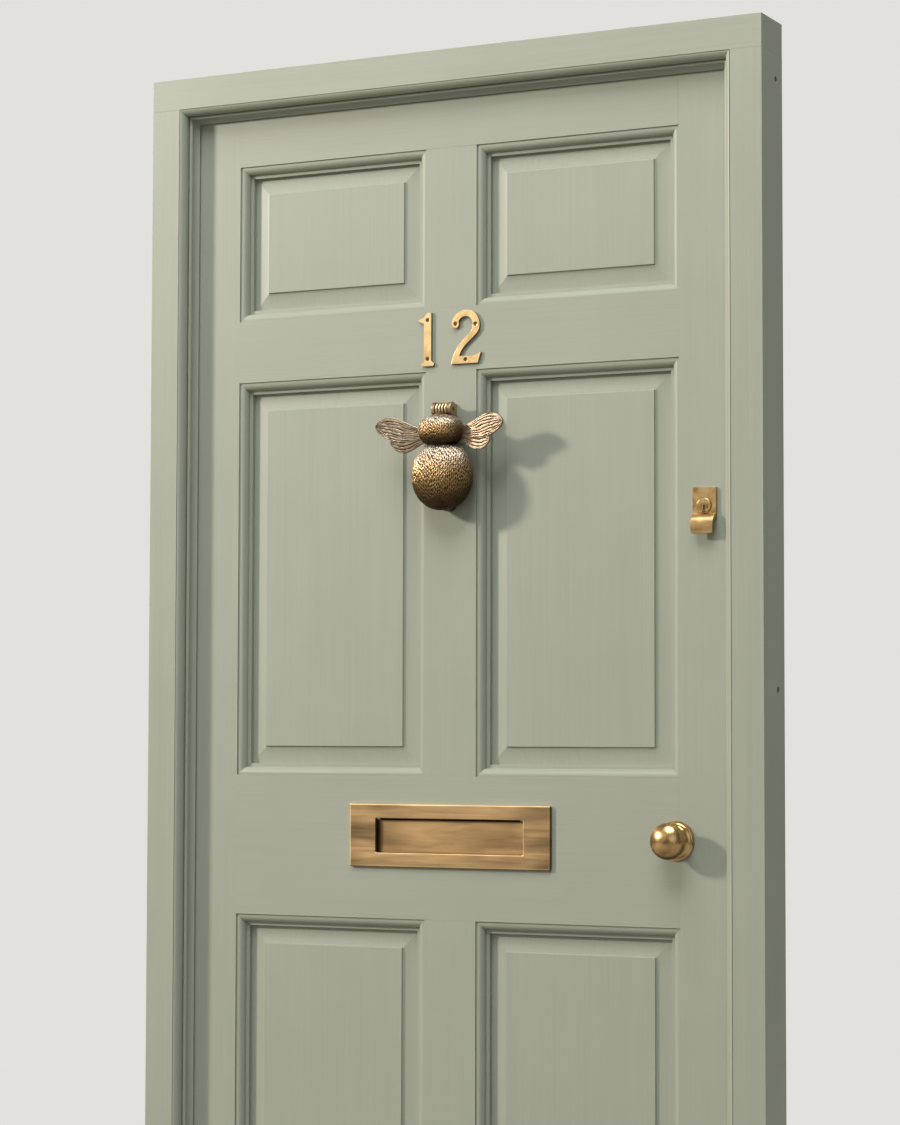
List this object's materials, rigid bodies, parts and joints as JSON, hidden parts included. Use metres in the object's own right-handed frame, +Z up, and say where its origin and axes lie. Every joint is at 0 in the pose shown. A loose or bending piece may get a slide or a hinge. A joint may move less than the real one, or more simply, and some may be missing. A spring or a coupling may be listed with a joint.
{
  "type": "panelled front door in its frame",
  "caption": "Painted timber front door with raised and fielded panels, hung in a moulded frame, with letter plate, numerals, bee knocker, cylinder pull and knob.",
  "frame": {"origin": "centre of the door's width on the underside of the sill, in the plane of the leaf's outside face", "axes": "+Z up, +Y into the building, +X to the right seen from outside"},
  "size_m": [0.932, 0.1773, 2.078],
  "materials": {
    "frame_paint": "satin oil paint, brushed",
    "frame_moulding_paint": "satin oil paint, brushed along the moulding",
    "sill_paint": "satin oil paint, brushed",
    "stile_paint": "satin oil paint, brushed upright",
    "rail_paint": "satin oil paint, brushed level",
    "panel_paint": "satin oil paint, brushed upright",
    "panel_moulding_paint": "satin oil paint",
    "hinge_steel": "satin",
    "screw_steel": "satin",
    "latch_steel": "zinc plated",
    "latch_brass": "satin",
    "night_latch_enamel": "semi-gloss enamel",
    "letter_plate_brass": "antiqued, brushed level",
    "letter_flap_brass": "antiqued, brushed level",
    "numeral_brass": "satin",
    "dark_screw_brass": "darkened",
    "knocker_bracket_brass": "antiqued",
    "bee_bronze": "antiqued and burnished",
    "knob_brass": "aged polish",
    "pull_brass": "satin",
    "cylinder_brass": "satin",
    "plug_brass": "aged"
  },
  "bodies": {
    "frame": {"frame_head": "frame_paint", "frame_jamb_left": "frame_paint", "frame_jamb_right": "frame_paint", "frame_sill": "sill_paint", "frame_moulding": "frame_moulding_paint", "frame_hinge_leaves": "hinge_steel", "hinge_pins": "hinge_steel", "strike_plate": "latch_brass", "latch_staple": "night_latch_enamel", "frame_screws": "screw_steel"},
    "leaf": {"hinge_stile": "stile_paint", "lock_stile": "stile_paint", "top_rail": "rail_paint", "frieze_rail": "rail_paint", "lock_rail": "rail_paint", "bottom_rail": "rail_paint", "top_muntin": "stile_paint", "middle_muntin": "stile_paint", "bottom_muntin": "stile_paint", "leaf_hinge_leaves": "hinge_steel", "leaf_screws": "screw_steel", "letter_plate": "letter_plate_brass", "letter_fixings": "latch_brass", "letter_flap_rod": "screw_steel", "numeral_one": "numeral_brass", "numeral_two": "numeral_brass", "numeral_screws": "dark_screw_brass", "knocker_bracket": "knocker_bracket_brass", "knocker_pin": "dark_screw_brass", "knocker_fixing": "latch_brass", "knocker_strike": "dark_screw_brass", "cylinder_pull": "pull_brass", "rim_cylinder": "cylinder_brass", "night_latch_case": "night_latch_enamel", "mortice_latch_case": "latch_steel", "outer_rose": "knob_brass", "inner_rose": "knob_brass", "panel_top_left": "panel_paint", "moulding_top_left": "panel_moulding_paint", "panel_top_right": "panel_paint", "moulding_top_right": "panel_moulding_paint", "panel_middle_left": "panel_paint", "moulding_middle_left": "panel_moulding_paint", "panel_middle_right": "panel_paint", "moulding_middle_right": "panel_moulding_paint", "panel_bottom_left": "panel_paint", "moulding_bottom_left": "panel_moulding_paint", "panel_bottom_right": "panel_paint", "moulding_bottom_right": "panel_moulding_paint"},
    "letter_flap": {"letter_flap": "letter_flap_brass"},
    "knocker_bee": {"knocker_bee": "bee_bronze"},
    "cylinder_plug": {"cylinder_plug": "plug_brass"},
    "night_latch_knob": {"night_latch_knob": "latch_brass"},
    "night_latch_bolt": {"night_latch_bolt": "latch_brass"},
    "night_latch_snib": {"night_latch_snib": "latch_brass"},
    "knobs": {"outer_knob": "knob_brass", "inner_knob": "knob_brass", "knob_spindle": "latch_steel", "latch_follower": "latch_steel"},
    "mortice_latch_bolt": {"mortice_latch_bolt": "latch_brass"}
  },
  "joints": [
    {"name": "leaf_swing", "type": "hinge", "parent": "frame", "child": "leaf", "pos_m": [-0.4205, 0.051, 1.04], "axis": [0, 0, 1], "range_deg": [0, 100]},
    {"name": "flap_hinge", "type": "hinge", "parent": "leaf", "child": "letter_flap", "pos_m": [0, 0.005, 1.0323], "axis": [1, 0, 0], "range_deg": [0, 75], "stiffness_Nm_per_rad": 0.05, "springref_deg": -40.11},
    {"name": "knocker_swing", "type": "hinge", "parent": "leaf", "child": "knocker_bee", "pos_m": [0, -0.022, 1.584], "axis": [-1, 0, 0], "range_deg": [0, 70]},
    {"name": "plug_turn", "type": "hinge", "parent": "leaf", "child": "cylinder_plug", "pos_m": [0.374, 0.02, 1.4383], "axis": [0, -1, 0], "range_deg": [0, 90]},
    {"name": "night_knob_turn", "type": "hinge", "parent": "leaf", "child": "night_latch_knob", "pos_m": [0.374, 0.07, 1.4383], "axis": [0, 1, 0], "range_deg": [0, 60]},
    {"name": "night_bolt_slide", "type": "slide", "parent": "leaf", "child": "night_latch_bolt", "axis": [1, 0, 0], "range_m": [0, 0.014]},
    {"name": "snib_slide", "type": "slide", "parent": "leaf", "child": "night_latch_snib", "axis": [1, 0, 0], "range_m": [0, 0.008]},
    {"name": "knob_turn", "type": "hinge", "parent": "leaf", "child": "knobs", "pos_m": [0.3316, 0.022, 1.0036], "axis": [0, 1, 0], "range_deg": [0, 50]},
    {"name": "latch_bolt_slide", "type": "slide", "parent": "leaf", "child": "mortice_latch_bolt", "axis": [1, 0, 0], "range_m": [0, 0.012]}
  ],
  "couplings": [
    {"joint": "night_knob_turn", "follows": "night_bolt_slide", "rad_per_m": 74.79},
    {"joint": "latch_bolt_slide", "follows": "knob_turn", "m_per_rad": 0.01375}
  ]
}
